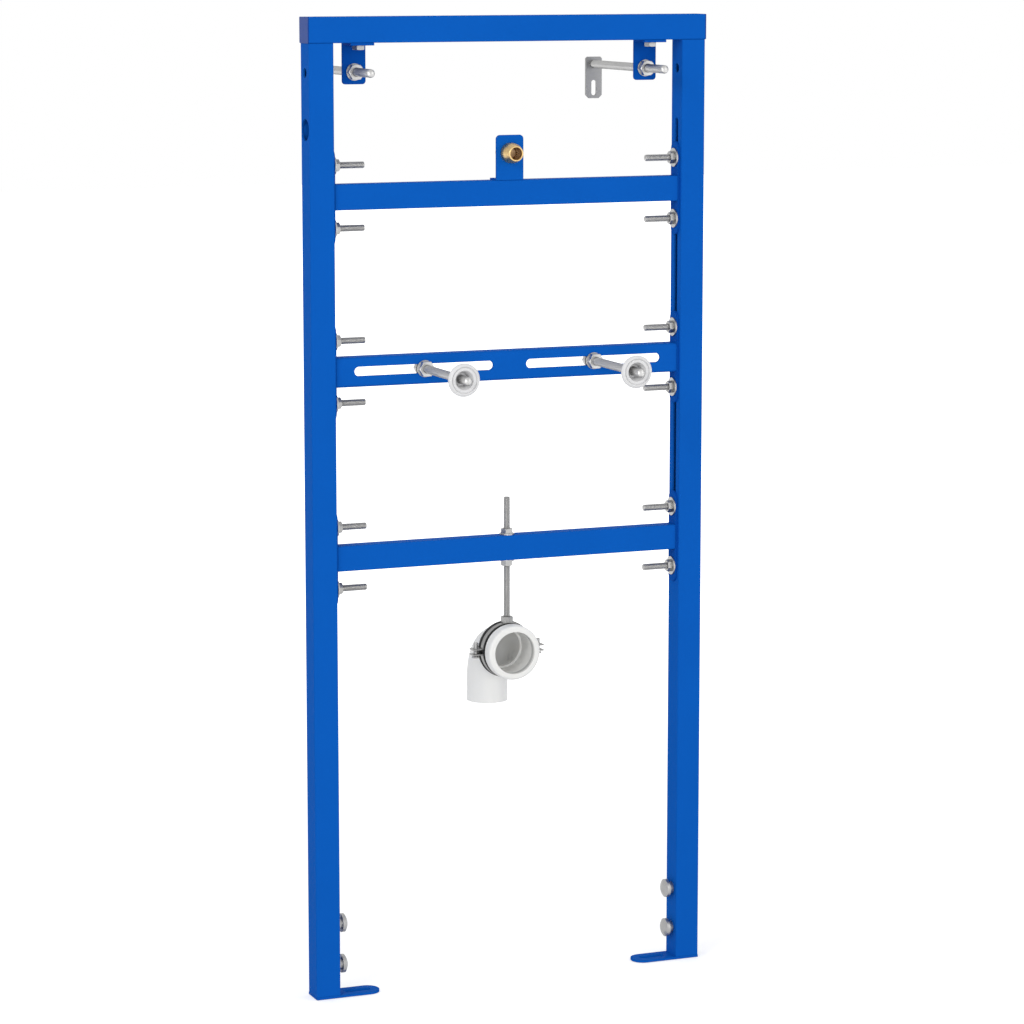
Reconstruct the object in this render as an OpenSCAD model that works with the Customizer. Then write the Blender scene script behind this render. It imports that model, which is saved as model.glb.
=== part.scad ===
// Installation frame for a wall-hung urinal, for a dry-lined wall.
// Two square tube legs carry four cross rails, a water connection, the two
// long fixing studs of the bowl, and a waste bend hung in a rubber-lined clamp.
// Origin: underside of the left foot, on the axis of the left leg.
// +X runs to the right leg, +Y back to the wall, +Z up.

/* [Frame] */
// Overall width over both legs
frame_w = 500; // [400:10:600]
// Overall height from the sole to the top of the top rail
frame_h = 1160; // [1150:5:1250]
// Side of the square tube
tube_w = 30; // [28:1:32]
// Wall thickness of the square tube
tube_wall = 2; // [1.5:0.5:2.5]
// Outer corner radius of the square tube
tube_corner = 1.5; // [1.5:0.5:3.5]
// Depth of the rails between the legs
rail_d = 20; // [19:1:24]

/* [Rail heights] */
// Height of the upper rail's axis
upper_z = 953; // [930:1:970]
// Height of the slotted rail's axis
slotted_z = 749; // [720:2:780]
// Height of the lower rail's axis
lower_z = 529.5; // [520:0.5:560]

/* [Slotted rail] */
// Height of the channel
channel_h = 35; // [34:1:40]
// Thickness of the channel's plate
channel_t = 3; // [2.5:0.5:4]
// Length of each slot
rail_slot_l = 174.5; // [120:0.5:176]
// Height of each slot
rail_slot_w = 11; // [11:0.5:14]
// Distance from the middle of the rail to the near end of a slot
rail_slot_in = 21; // [15:0.5:24]
// Height of the slots' middle above the rail's axis
rail_slot_up = 1; // [0:0.5:2]

/* [Legs] */
// Width of the long slot in a leg's inner side
leg_slot_w = 9; // [8.5:0.5:10]
// Height of the lower end of the long slot
leg_slot_bottom = 480; // [470:2:484]
// Height of the upper end of the long slot
leg_slot_top = 1037; // [1010:1:1045]
// Height of the small hole through a leg's sides
link_hole_z = 1096; // [1085:1:1105]
// Diameter of the small hole
link_hole_d = 11; // [9:0.5:13]
// Height of the large hole in a leg's outer side
port_z = 1031; // [1020:1:1040]
// Diameter of the large hole
port_d = 25; // [20:1:25]

/* [End plates] */
// Length of the plate at the end of a rail
end_plate_l = 112; // [106:1:120]
// Thickness of the plate
end_plate_t = 2.5; // [2:0.5:4]
// Distance of each bolt above or below the rail's axis
end_bolt_z = 36.5; // [34:0.5:38]
// Distance from the leg's inner side to the tip of a side bolt
side_bolt_reach = 41; // [30:1:50]

/* [Feet] */
// Length of a foot plate from the leg's outer side
foot_l = 83.5; // [80:0.5:100]
// Thickness of a foot plate
foot_t = 3; // [3:0.5:6]
// Length of the slot for the floor screw
foot_slot_l = 33; // [20:1:36]
// Width of the slot for the floor screw
foot_slot_w = 9; // [8:0.5:11]
// Distance from the leg's axis to the middle of the slot
foot_slot_x = 41; // [40:0.5:42]
// Height of the upright that slides in the leg
foot_post_h = 150; // [120:5:200]
// Side of the upright
foot_post_w = 25; // [24:0.5:25]
// Height of the lower clamping bolt
foot_bolt_low = 38; // [34:1:44]
// Height of the upper clamping bolt
foot_bolt_high = 88; // [80:1:100]
// Diameter of a clamping bolt's domed head
foot_head_d = 22.5; // [18:0.5:24]

/* [Wall stays] */
// Distance of each stay from the middle of the frame
stay_x = 184.7; // [170:0.1:190]
// Width of the angle bracket under the top rail
bracket_w = 28.5; // [26:0.5:34]
// Thickness of the angle brackets
bracket_t = 3; // [3:0.5:4]
// Length of the tab that hangs down behind the rail
bracket_drop = 48.3; // [46:0.1:56]
// Distance from the back of the frame to the back of a wall plate
wall_gap = 155.5; // [100:0.5:200]
// Distance from the bracket's nut to the front tip of a wall stud
stay_tip = 55.5; // [40:0.5:80]
// Width of a wall plate
wall_plate_w = 21.5; // [20:0.5:24]
// Height of a wall plate
wall_plate_h = 51; // [48:1:60]
// Thickness of a wall plate
wall_plate_t = 3; // [2.5:0.5:4]

/* [Water connection] */
// Width of the bracket that holds the fitting
water_w = 34.5; // [30:0.5:40]
// Height of the bracket above the upper rail
water_h = 53; // [50:1:60]
// Thickness of that bracket
water_t = 2; // [2:0.5:4]
// Height of the fitting's axis above the upper rail
water_axis_h = 32; // [28:1:34]
// Bore of the fitting
water_bore_d = 14; // [13:0.5:16]

/* [Fixing studs] */
// Distance between the two studs that carry the bowl
fixing_pitch = 216; // [180:4:230]
// Distance from the front of the frame to the tip of a stud
fixing_reach = 134.5; // [130:0.5:160]
// Distance from the front of the frame to the back of a cap's flange
cap_reach = 119.5; // [110:0.5:122]
// Diameter of a cap's flange
cap_d = 38.5; // [36:0.5:44]

/* [Waste bend] */
// Outer diameter of the waste pipe
pipe_d = 50; // [40:1:50]
// Wall thickness of the waste pipe
pipe_t = 2; // [1.8:0.1:3]
// Height of the socket's axis
socket_z = 404.5; // [400:0.5:410]
// Outer diameter of the socket's front ring
socket_ring_d = 66; // [66:1:68]
// Distance from the front of the frame to the socket's face
socket_reach = 11.5; // [10:0.5:14]
// Distance from the front of the frame to the axis of the pipe's lower leg
drop_y = 78.5; // [78:0.5:90]
// Height of the pipe's lower end
drop_z = 331; // [300:1:340]
// Radius of the bend's centre line
bend_r = 45; // [40:1:45]

/* [Pipe clamp] */
// Width of the clamp's band
clamp_w = 8; // [6:1:10]
// Thickness of the band
band_t = 1.5; // [1:0.5:3]
// Thickness of the rubber lining
lining_t = 3; // [2:0.5:4]
// Distance from the clamp's axis to the end of an ear
ear_l = 46; // [46:1:54]
// Height of the top of the hanger rod
hanger_top = 590; // [570:1:600]

/* [Threads] */
// Diameter of the studs for the bowl and the wall
big_d = 10; // [10:1:12]
// Diameter of the side bolts, the screws and the hanger rod
small_d = 8; // [6:1:8]

/* [Hidden] */

$fn = 64;
cut = 1;                            // overshoot of a cutting tool
thread_play = 0.2;                  // radial play of a stud in its nut
sides = [-1, 1];

paint = [0.08, 0.36, 0.74];
dark_paint = [0.07, 0.33, 0.68];
plug_colour = [0, 0.22, 0.54];
zinc = [0.70, 0.70, 0.70];
dull_zinc = [0.64, 0.64, 0.64];
brass = [0.83, 0.70, 0.47];
white_plastic = [0.93, 0.93, 0.93];
black_rubber = [0.08, 0.08, 0.08];

half = tube_w / 2;
front_y = -half;
back_y = half;
inner_x = half;                     // inner side of the left leg
leg_pitch = frame_w - tube_w;
mid_x = leg_pitch / 2;
top_z = frame_h - tube_w;           // underside of the top rail
rail_l = leg_pitch - tube_w - 2 * end_plate_t;
bolt_heights = [for (z = [upper_z, slotted_z, lower_z], s = sides) z + s * end_bolt_z];
foot_bolt_heights = [foot_bolt_low, foot_bolt_high];

small_flats = 13;                   // width of a small nut across its flats
small_nut_h = 5.5;
flange_nut_h = 7.5;
small_head_h = 5.3;
small_washer_d = 22.5;
big_flats = 17;
big_nut_h = 8;
big_washer_d = 20;
washer_t = 2;
small_hole_d = small_d + 1;
big_hole_d = big_d + 1;

upper_top = upper_z + half;
water_z = upper_top + water_axis_h;
water_thread_d = 21;
water_screw_y = 1;
rail_front = -rail_d / 2;           // front of the rails between the legs
rail_back = rail_d / 2;

pipe_r = pipe_d / 2;
pipe_y = front_y + drop_y;
socket_y = front_y - socket_reach;
socket_wall = 4;
socket_r = pipe_r + socket_wall;    // outer radius of the socket behind its ring
socket_bore_r = pipe_r + 0.4;
socket_l = pipe_y - bend_r - socket_y;
ring_l = 15.5;                      // width of the socket's front ring
seal_r = pipe_r + 6;
seal_l = 6;
seal_from_face = 4;

clamp_y = 0;                        // depth of the hanger rod and of the clamp's screws
ear_w = 12;
band_front = clamp_y - ear_w / 2;   // front edge of the band and of its ears
lining_front = clamp_y - 9;
lining_w = 17;
band_in = socket_r + lining_t;
band_out = band_in + band_t;
ear_gap = 5;
clamp_screw_x = 40;
clamp_screw_d = 6;
clamp_flats = 9;
hanger_foot = socket_z + band_out;

stay_y = back_y + wall_gap;
stay_nut_y = back_y - washer_t;
fixing_z = slotted_z + rail_slot_up;
fixing_nut_back = channel_t + washer_t + big_nut_h;

// Shapes that several pieces share

module round_rect(w, h, r) {
    square([w - 2 * r, h], center = true);
    square([w, h - 2 * r], center = true);
    for (x = sides, y = sides)
        translate([x * (w / 2 - r), y * (h / 2 - r)]) circle(r);
}

module tube_outline(w, h, r) {
    difference() {
        round_rect(w, h, r);
        round_rect(w - 2 * tube_wall, h - 2 * tube_wall, max(r - tube_wall, 0.5));
    }
}

module slot_outline(l, w) {
    square([l - w, w], center = true);
    for (x = sides)
        translate([x * (l - w) / 2, 0]) circle(d = w);
}

// Rectangle whose two lower corners are rounded
module tab_outline(w, h, r) {
    translate([-w / 2, -h / 2 + r]) square([w, h - r]);
    translate([-w / 2 + r, -h / 2]) square([w - 2 * r, h]);
    for (s = sides)
        translate([s * (w / 2 - r), -h / 2 + r]) circle(r);
}

// Turns +Z to the front of the frame
module facing_front() {
    rotate([90, 0, 0]) children();
}

// Puts its children on a leg's inner side, with +Z towards the frame's middle
module at_inner_side(side, z) {
    x = side < 0 ? inner_x : leg_pitch - inner_x;
    translate([x, 0, z]) rotate([0, -90 * side, 0]) children();
}

// Mirrors its children to the right half of the frame
module on_right() {
    translate([leg_pitch, 0, 0]) mirror([1, 0, 0]) children();
}

// Hexagon with turned chamfers at both ends, as on a nut or a screw head
module hex_block(flats, h) {
    flat_r = flats / 2;
    corner_r = flat_r / cos(30);
    chamfer = (corner_r - flat_r) * tan(30);
    intersection() {
        cylinder(r = corner_r, h = h, $fn = 6);
        rotate_extrude() polygon([
            [0, 0], [flat_r, 0], [corner_r, chamfer],
            [corner_r, h - chamfer], [flat_r, h], [0, h]
        ]);
    }
}

module hex_nut(flats, h, thread_d) {
    difference() {
        hex_block(flats, h);
        translate([0, 0, -cut]) cylinder(d = thread_d + 2 * thread_play, h = h + 2 * cut);
    }
}

module washer(d, hole_d) {
    difference() {
        cylinder(d = d, h = washer_t);
        translate([0, 0, -cut]) cylinder(d = hole_d, h = washer_t + 2 * cut);
    }
}

// Round bar with a chamfer at both ends
module stud(d, l) {
    c = d / 10;
    rotate_extrude() polygon([
        [0, 0], [d / 2 - c, 0], [d / 2, c], [d / 2, l - c], [d / 2 - c, l], [0, l]
    ]);
}

// Legs and rails

module left_leg() {
    slot_l = leg_slot_top - leg_slot_bottom;
    color(paint) difference() {
        translate([0, 0, foot_t])
            linear_extrude(top_z - foot_t) tube_outline(tube_w, tube_w, tube_corner);
        at_inner_side(-1, leg_slot_bottom + slot_l / 2)
            translate([0, 0, -tube_wall - cut])
            linear_extrude(tube_wall + 2 * cut) slot_outline(slot_l, leg_slot_w);
        translate([-half - cut, 0, link_hole_z])
            rotate([0, 90, 0]) cylinder(d = link_hole_d, h = tube_w + 2 * cut);
        translate([-half - cut, 0, port_z])
            rotate([0, 90, 0]) cylinder(d = port_d, h = half);
        for (z = foot_bolt_heights)
            at_inner_side(-1, z) translate([0, 0, -tube_wall - cut])
            cylinder(d = small_hole_d, h = tube_wall + 2 * cut);
    }
}

module right_leg() {
    on_right() left_leg();
}

module top_rail() {
    color(paint) difference() {
        translate([-half, 0, frame_h - half]) rotate([90, 0, 90])
            linear_extrude(frame_w) tube_outline(tube_w, tube_w, tube_corner);
        for (s = sides)
            translate([mid_x + s * stay_x, 0, top_z - cut])
            cylinder(d = small_d + 2 * thread_play, h = tube_wall + 2 * cut);
    }
}

// Push-in plug for the open end of the top rail, with a thin cover
module end_plug() {
    cover_t = 1.2;
    stem_l = 12;
    stem_w = tube_w - 2 * tube_wall - 0.4;
    linear_extrude(cover_t) round_rect(tube_w, tube_w, tube_corner);
    translate([0, 0, -stem_l]) linear_extrude(stem_l + cover_t / 2)
        difference() {
            round_rect(stem_w, stem_w, 1);
            square(stem_w - 3, center = true);
        }
}

module rail_end_plugs() {
    color(plug_colour) {
        translate([-half, 0, frame_h - half]) rotate([0, -90, 0]) end_plug();
        translate([leg_pitch + half, 0, frame_h - half]) rotate([0, 90, 0]) end_plug();
    }
}

// Rail of flat tube between two end plates
module flat_rail(z) {
    translate([mid_x - rail_l / 2, 0, z]) rotate([90, 0, 90])
        linear_extrude(rail_l) tube_outline(rail_d, tube_w, tube_corner);
}

module upper_rail() {
    color(paint) difference() {
        flat_rail(upper_z);
        translate([mid_x, water_screw_y, upper_top - tube_wall - cut])
            cylinder(d = small_d + 2 * thread_play, h = tube_wall + 2 * cut);
    }
}

module lower_rail() {
    color(paint) difference() {
        flat_rail(lower_z);
        translate([mid_x, clamp_y, lower_z - half - cut])
            cylinder(d = small_hole_d, h = tube_w + 2 * cut);
    }
}

// Section of the channel: the web stands at the front, both lips point back
module channel_outline() {
    h = channel_h / 2;
    r = channel_t + 1;
    difference() {
        union() {
            translate([rail_front + r, -h]) square([rail_d - r, channel_h]);
            translate([rail_front, -h + r]) square([rail_d, channel_h - 2 * r]);
            for (s = sides)
                translate([rail_front + r, s * (h - r)]) circle(r);
        }
        translate([rail_front + channel_t, -h + channel_t])
            square([rail_d, channel_h - 2 * channel_t]);
    }
}

module slotted_rail() {
    slot_mid = rail_slot_in + rail_slot_l / 2;
    color(paint) difference() {
        translate([mid_x - rail_l / 2, 0, slotted_z]) rotate([90, 0, 90])
            linear_extrude(rail_l) channel_outline();
        for (s = sides)
            translate([mid_x + s * slot_mid, rail_front + channel_t + cut, fixing_z])
            facing_front() linear_extrude(channel_t + 2 * cut)
            slot_outline(rail_slot_l, rail_slot_w);
    }
}

// Plate welded across the end of a rail and bolted to the leg
module end_plate(side, z) {
    color(dark_paint) at_inner_side(side, z) linear_extrude(end_plate_t)
        difference() {
            slot_outline(end_plate_l, rail_d);
            for (s = sides)
                translate([s * end_bolt_z, 0]) circle(d = small_hole_d);
        }
}

module upper_left_end_plate() { end_plate(-1, upper_z); }
module upper_right_end_plate() { end_plate(1, upper_z); }
module slotted_left_end_plate() { end_plate(-1, slotted_z); }
module slotted_right_end_plate() { end_plate(1, slotted_z); }
module lower_left_end_plate() { end_plate(-1, lower_z); }
module lower_right_end_plate() { end_plate(1, lower_z); }

// Side fasteners

// Bolt whose flat head bears on the inside of the tube's wall
module side_bolt() {
    head_l = 20;
    head_w = 13;
    head_t = 3;
    translate([0, 0, -tube_wall - head_t])
        linear_extrude(head_t) square([head_l, head_w], center = true);
    translate([0, 0, -tube_wall - head_t / 2])
        stud(small_d, side_bolt_reach + tube_wall + head_t / 2);
}

module side_bolts() {
    color(zinc)
    for (s = sides, z = bolt_heights)
        at_inner_side(s, z) side_bolt();
}

module side_washers() {
    color(zinc)
    for (s = sides, z = bolt_heights)
        at_inner_side(s, z) translate([0, 0, end_plate_t])
        washer(small_washer_d, small_hole_d);
}

module side_nuts() {
    color(dull_zinc)
    for (s = sides, z = bolt_heights)
        at_inner_side(s, z) translate([0, 0, end_plate_t + washer_t])
        rotate(15) hex_nut(small_flats, small_nut_h, small_d);
}

// Feet

// Plate with one round end towards the frame's middle and a screw slot
module foot_outline() {
    end_x = foot_l - tube_w;
    difference() {
        union() {
            translate([-half, -half]) square([end_x + half, tube_w]);
            translate([end_x, 0]) circle(half);
        }
        translate([foot_slot_x, 0]) slot_outline(foot_slot_l, foot_slot_w);
    }
}

module left_foot() {
    color(paint) {
        linear_extrude(foot_t) foot_outline();
        difference() {
            translate([0, 0, foot_t / 2])
                linear_extrude(foot_post_h) tube_outline(foot_post_w, foot_post_w, tube_corner);
            for (z = foot_bolt_heights)
                at_inner_side(-1, z) translate([0, 0, -half])
                cylinder(d = small_d + 2 * thread_play, h = half);
        }
    }
}

module right_foot() {
    on_right() left_foot();
}

// Bolt with a domed head on a short neck, threaded into the foot's upright
module foot_clamp_bolt() {
    neck_h = 5.5;
    rim_h = 4;
    dome_h = 4;
    stem_l = 9;
    r = foot_head_d / 2;
    dome_r = (r * r + dome_h * dome_h) / (2 * dome_h);
    translate([0, 0, -stem_l]) stud(small_d, stem_l + neck_h);
    cylinder(d = 15, h = neck_h);
    translate([0, 0, neck_h]) cylinder(r = r, h = rim_h);
    intersection() {
        translate([0, 0, neck_h + rim_h + dome_h - dome_r]) sphere(dome_r);
        translate([0, 0, neck_h + rim_h / 2]) cylinder(r = r, h = rim_h + dome_h);
    }
}

module foot_clamp_bolts() {
    color(zinc)
    for (s = sides, z = foot_bolt_heights)
        at_inner_side(s, z) foot_clamp_bolt();
}

// Wall stays at the top

// Angle bracket: a flange under the rail, a tab hanging at its back
module top_bracket(x) {
    color(dark_paint) difference() {
        union() {
            translate([x - bracket_w / 2, front_y, top_z - bracket_t])
                cube([bracket_w, tube_w + bracket_t, bracket_t]);
            translate([x, back_y + bracket_t, top_z - bracket_drop / 2])
                facing_front() linear_extrude(bracket_t)
                tab_outline(bracket_w, bracket_drop, 4);
        }
        translate([x, 0, top_z - bracket_t - cut])
            cylinder(d = small_hole_d, h = bracket_t + 2 * cut);
        translate([x, back_y + bracket_t + cut, link_hole_z])
            facing_front() cylinder(d = big_hole_d, h = bracket_t + 2 * cut);
    }
}

module left_top_bracket() { top_bracket(mid_x - stay_x); }
module right_top_bracket() { top_bracket(mid_x + stay_x); }

// Screw with its head under z = 0 and its nut above the parts that it grips
module tube_screw(grip) {
    translate([0, 0, -small_head_h]) hex_block(small_flats, small_head_h);
    translate([0, 0, -small_head_h / 2]) stud(small_d, small_head_h / 2 + grip + small_nut_h + 2);
    translate([0, 0, grip]) hex_block(small_flats, small_nut_h);
}

module bracket_screws() {
    grip = bracket_t + tube_wall;
    color(zinc) {
        for (s = sides)
            translate([mid_x + s * stay_x, 0, top_z - bracket_t]) tube_screw(grip);
        translate([mid_x, water_screw_y, upper_top + water_t])
            mirror([0, 0, 1]) tube_screw(water_t + tube_wall);
    }
}

module wall_stud(x) {
    back = stay_y - wall_plate_t;
    color(zinc) translate([x, back, link_hole_z])
        facing_front() stud(big_d, back - stay_nut_y + stay_tip);
}

module left_wall_stud() { wall_stud(mid_x - stay_x); }
module right_wall_stud() { wall_stud(mid_x + stay_x); }

// Plate for the wall behind, welded to the stud, with a long hole for a screw
module wall_plate(x) {
    top = 9;
    bottom = top - wall_plate_h;
    side = wall_plate_w / 2;
    upper_c = 2;
    lower_c = 4;
    color(dull_zinc) translate([x, stay_y, link_hole_z])
        facing_front() linear_extrude(wall_plate_t)
        difference() {
            polygon([
                [-side, top - upper_c], [-side + upper_c, top],
                [side - upper_c, top], [side, top - upper_c],
                [side, bottom + lower_c], [side - lower_c, bottom],
                [-side + lower_c, bottom], [-side, bottom + lower_c]
            ]);
            translate([0, -29]) rotate(90) slot_outline(19, 6.4);
        }
}

module left_wall_plate() { wall_plate(mid_x - stay_x); }
module right_wall_plate() { wall_plate(mid_x + stay_x); }

module wall_stud_nuts() {
    color(dull_zinc)
    for (s = sides, y = [stay_nut_y, back_y + bracket_t + washer_t + big_nut_h])
        translate([mid_x + s * stay_x, y, link_hole_z])
        facing_front() hex_nut(big_flats, big_nut_h, big_d);
}

module wall_stud_washers() {
    color(zinc)
    for (s = sides, y = [back_y, back_y + bracket_t + washer_t])
        translate([mid_x + s * stay_x, y, link_hole_z])
        facing_front() washer(big_washer_d, big_hole_d);
}

// Water connection

module water_bracket() {
    color(dark_paint) difference() {
        union() {
            translate([mid_x, rail_front + water_t, upper_top + water_h / 2])
                facing_front() linear_extrude(water_t)
                mirror([0, 1, 0]) tab_outline(water_w, water_h, 5);
            translate([mid_x - water_w / 2, rail_front, upper_top])
                cube([water_w, rail_d, water_t]);
        }
        translate([mid_x, rail_front + water_t + cut, water_z])
            facing_front() cylinder(d = water_thread_d + 1, h = water_t + 2 * cut);
        translate([mid_x, water_screw_y, upper_top - cut])
            cylinder(d = small_hole_d, h = water_t + 2 * cut);
    }
}

// Turned fitting: collar against the bracket, cone, front ring, tail behind
module water_fitting() {
    bore_r = water_bore_d / 2;
    tail_r = water_thread_d / 2;
    tail_l = 20;
    collar_r = 12;
    collar_l = 8;
    ring_r = 10.2;
    ring_from = 13;
    reach = 20.5;
    color(brass) translate([mid_x, rail_front, water_z]) facing_front()
        rotate_extrude() polygon([
            [bore_r, -tail_l], [tail_r, -tail_l], [tail_r, 0], [collar_r, 0],
            [collar_r, collar_l], [ring_r, ring_from], [ring_r, reach - 0.6],
            [ring_r - 0.6, reach], [bore_r + 0.6, reach], [bore_r, reach - 0.6]
        ]);
}

module fitting_lock_nut() {
    h = 6;
    color(brass) translate([mid_x, rail_front + water_t + h, water_z])
        facing_front() hex_nut(27, h, water_thread_d);
}

// Fixing studs for the bowl

module fixing_stud(side) {
    tail = fixing_nut_back + 5;
    color(zinc) translate([mid_x + side * fixing_pitch / 2, rail_front + tail, fixing_z])
        facing_front() stud(big_d, rail_front - front_y + tail + fixing_reach);
}

module left_fixing_stud() { fixing_stud(-1); }
module right_fixing_stud() { fixing_stud(1); }

module fixing_nuts() {
    color(dull_zinc)
    for (s = sides, y = [-washer_t, fixing_nut_back])
        translate([mid_x + s * fixing_pitch / 2, rail_front + y, fixing_z])
        facing_front() hex_nut(big_flats, big_nut_h, big_d);
}

module fixing_washers() {
    color(zinc)
    for (s = sides, y = [0, channel_t + washer_t])
        translate([mid_x + s * fixing_pitch / 2, rail_front + y, fixing_z])
        facing_front() washer(big_washer_d, big_hole_d);
}

// Plastic cap: a bevelled flange with a cup in front, a sleeve behind
module fixing_cap(side) {
    bore_r = big_d / 2;
    sleeve_l = 20;
    flange_h = 4.5;
    cup_r = 12;
    cup_floor = 2;
    r = cap_d / 2;
    color(white_plastic)
    translate([mid_x + side * fixing_pitch / 2, front_y - cap_reach, fixing_z])
        facing_front() rotate_extrude() polygon([
            [bore_r, -sleeve_l], [9, -sleeve_l], [10, 0], [r, 0], [r, 2],
            [r - 3, flange_h], [cup_r + 1, flange_h], [cup_r, cup_floor], [bore_r, cup_floor]
        ]);
}

module left_fixing_cap() { fixing_cap(-1); }
module right_fixing_cap() { fixing_cap(1); }

// Hanger and pipe clamp

module hanger_rod() {
    color(zinc) translate([mid_x, clamp_y, hanger_foot])
        stud(small_d, hanger_top - hanger_foot);
}

// Nut with a round flange at its foot
module flange_nut() {
    difference() {
        union() {
            cylinder(d = 17.9, h = 1.6);
            hex_block(small_flats, flange_nut_h);
        }
        translate([0, 0, -cut])
            cylinder(d = small_d + 2 * thread_play, h = flange_nut_h + 2 * cut);
    }
}

module hanger_nuts() {
    color(dull_zinc) {
        translate([mid_x, clamp_y, lower_z + half]) flange_nut();
        translate([mid_x, clamp_y, lower_z - half]) mirror([0, 0, 1]) flange_nut();
    }
}

// Half of the band with its two ears, both with their front edges in one plane
module clamp_half() {
    translate([0, band_front + clamp_w, 0]) facing_front() linear_extrude(clamp_w)
        difference() {
            circle(band_out);
            circle(band_in);
            translate([-band_out - cut, -band_out - cut])
                square([2 * (band_out + cut), band_out + cut + ear_gap / 2]);
        }
    for (s = sides)
        translate([s * (ear_l + band_in) / 2, band_front + ear_w / 2, ear_gap / 2 + band_t / 2])
            cube([ear_l - band_in, ear_w, band_t], center = true);
}

module clamp_screw_holes(d) {
    for (s = sides)
        translate([s * clamp_screw_x, clamp_y, 0])
        cylinder(d = d, h = ear_gap + 2 * band_t);
}

// The ears of this half are tapped, and a hexagonal boss holds the rod
module clamp_upper_half() {
    boss_h = 7;
    color(zinc) translate([mid_x, 0, socket_z]) difference() {
        union() {
            clamp_half();
            translate([0, clamp_y, band_in + band_t / 2])
                rotate(30) hex_block(small_flats, boss_h + band_t / 2);
        }
        translate([0, clamp_y, band_out])
            cylinder(d = small_d + 2 * thread_play, h = boss_h + cut);
        clamp_screw_holes(clamp_screw_d + 2 * thread_play);
    }
}

module clamp_lower_half() {
    color(zinc) translate([mid_x, 0, socket_z]) mirror([0, 0, 1]) difference() {
        clamp_half();
        clamp_screw_holes(clamp_screw_d + 1);
    }
}

// Rubber ring under the band, wider than it
module clamp_lining() {
    soft = 0.6;
    color(black_rubber) translate([mid_x, lining_front, socket_z]) rotate([-90, 0, 0])
        rotate_extrude() polygon([
            [socket_r, 0], [band_in - soft, 0], [band_in, soft],
            [band_in, lining_w - soft], [band_in - soft, lining_w], [socket_r, lining_w]
        ]);
}

// Head under the lower ear, thread standing out above the upper one
module clamp_screws() {
    seat = ear_gap / 2 + band_t;
    head_h = 3.5;
    proud = 7;
    color(zinc)
    for (s = sides)
        translate([mid_x + s * clamp_screw_x, clamp_y, socket_z]) {
            translate([0, 0, -seat - head_h]) hex_block(clamp_flats, head_h);
            translate([0, 0, -seat - head_h / 2])
                stud(clamp_screw_d, 2 * seat + head_h / 2 + proud);
        }
}

// Waste bend

// Quarter turn of a round bar from the socket's axis down to the pipe's axis
module quarter_turn(r) {
    translate([mid_x, pipe_y - bend_r, socket_z - bend_r])
        rotate([90, 0, 90]) rotate_extrude(angle = 90)
        translate([bend_r, 0]) circle(r);
}

module lower_leg(r, over) {
    translate([mid_x, pipe_y, drop_z - over])
        cylinder(r = r, h = socket_z - bend_r - drop_z + over);
}

// Outer form of the socket, from the bend's end to the front face
module socket_form() {
    shoulder_l = 7;
    ring_r = socket_ring_d / 2;
    ring_from = socket_l - ring_l;
    soft = 3;
    translate([mid_x, pipe_y - bend_r, socket_z]) facing_front()
        rotate_extrude() polygon([
            [0, 0], [pipe_r, 0], [pipe_r, 2], [socket_r, shoulder_l], [socket_r, ring_from - 0.5],
            [ring_r - 1, ring_from], [ring_r, ring_from + 1], [ring_r, socket_l - soft],
            [ring_r - 0.9, socket_l - 0.9], [ring_r - soft, socket_l], [0, socket_l]
        ]);
}

// Clear space of the socket: pipe bore, seat, seal groove and mouth
module socket_space() {
    bore_r = pipe_r - pipe_t;
    stop = 4;
    groove_to = socket_l - seal_from_face;
    groove_from = groove_to - seal_l;
    lead_r = socket_bore_r + 0.4;
    translate([mid_x, pipe_y - bend_r, socket_z]) facing_front()
        rotate_extrude() polygon([
            [0, 0], [bore_r, 0], [bore_r, stop], [socket_bore_r, stop],
            [socket_bore_r, groove_from], [seal_r, groove_from], [seal_r, groove_to],
            [socket_bore_r, groove_to], [socket_bore_r, socket_l - 0.4],
            [lead_r, socket_l], [lead_r, socket_l + cut], [0, socket_l + cut]
        ]);
}

module waste_bend() {
    bore_r = pipe_r - pipe_t;
    color(white_plastic) difference() {
        union() {
            quarter_turn(pipe_r);
            lower_leg(pipe_r, 0);
            socket_form();
        }
        quarter_turn(bore_r);
        lower_leg(bore_r, cut);
        socket_space();
    }
}

module socket_seal() {
    play = 0.1;
    color(black_rubber)
    translate([mid_x, socket_y + seal_from_face + seal_l, socket_z])
        facing_front() linear_extrude(seal_l)
        difference() {
            circle(seal_r);
            circle(socket_bore_r + play);
        }
}

left_leg();
right_leg();
top_rail();
rail_end_plugs();
upper_rail();
slotted_rail();
lower_rail();
upper_left_end_plate();
upper_right_end_plate();
slotted_left_end_plate();
slotted_right_end_plate();
lower_left_end_plate();
lower_right_end_plate();
side_bolts();
side_washers();
side_nuts();
left_foot();
right_foot();
foot_clamp_bolts();
left_top_bracket();
right_top_bracket();
bracket_screws();
left_wall_stud();
right_wall_stud();
left_wall_plate();
right_wall_plate();
wall_stud_nuts();
wall_stud_washers();
water_bracket();
water_fitting();
fitting_lock_nut();
left_fixing_stud();
right_fixing_stud();
left_fixing_cap();
right_fixing_cap();
fixing_nuts();
fixing_washers();
hanger_rod();
hanger_nuts();
clamp_upper_half();
clamp_lower_half();
clamp_lining();
clamp_screws();
waste_bend();
socket_seal();
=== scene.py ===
import itertools
import math
import bmesh
import bpy
from mathutils import Matrix, Vector
from mathutils.kdtree import KDTree


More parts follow.
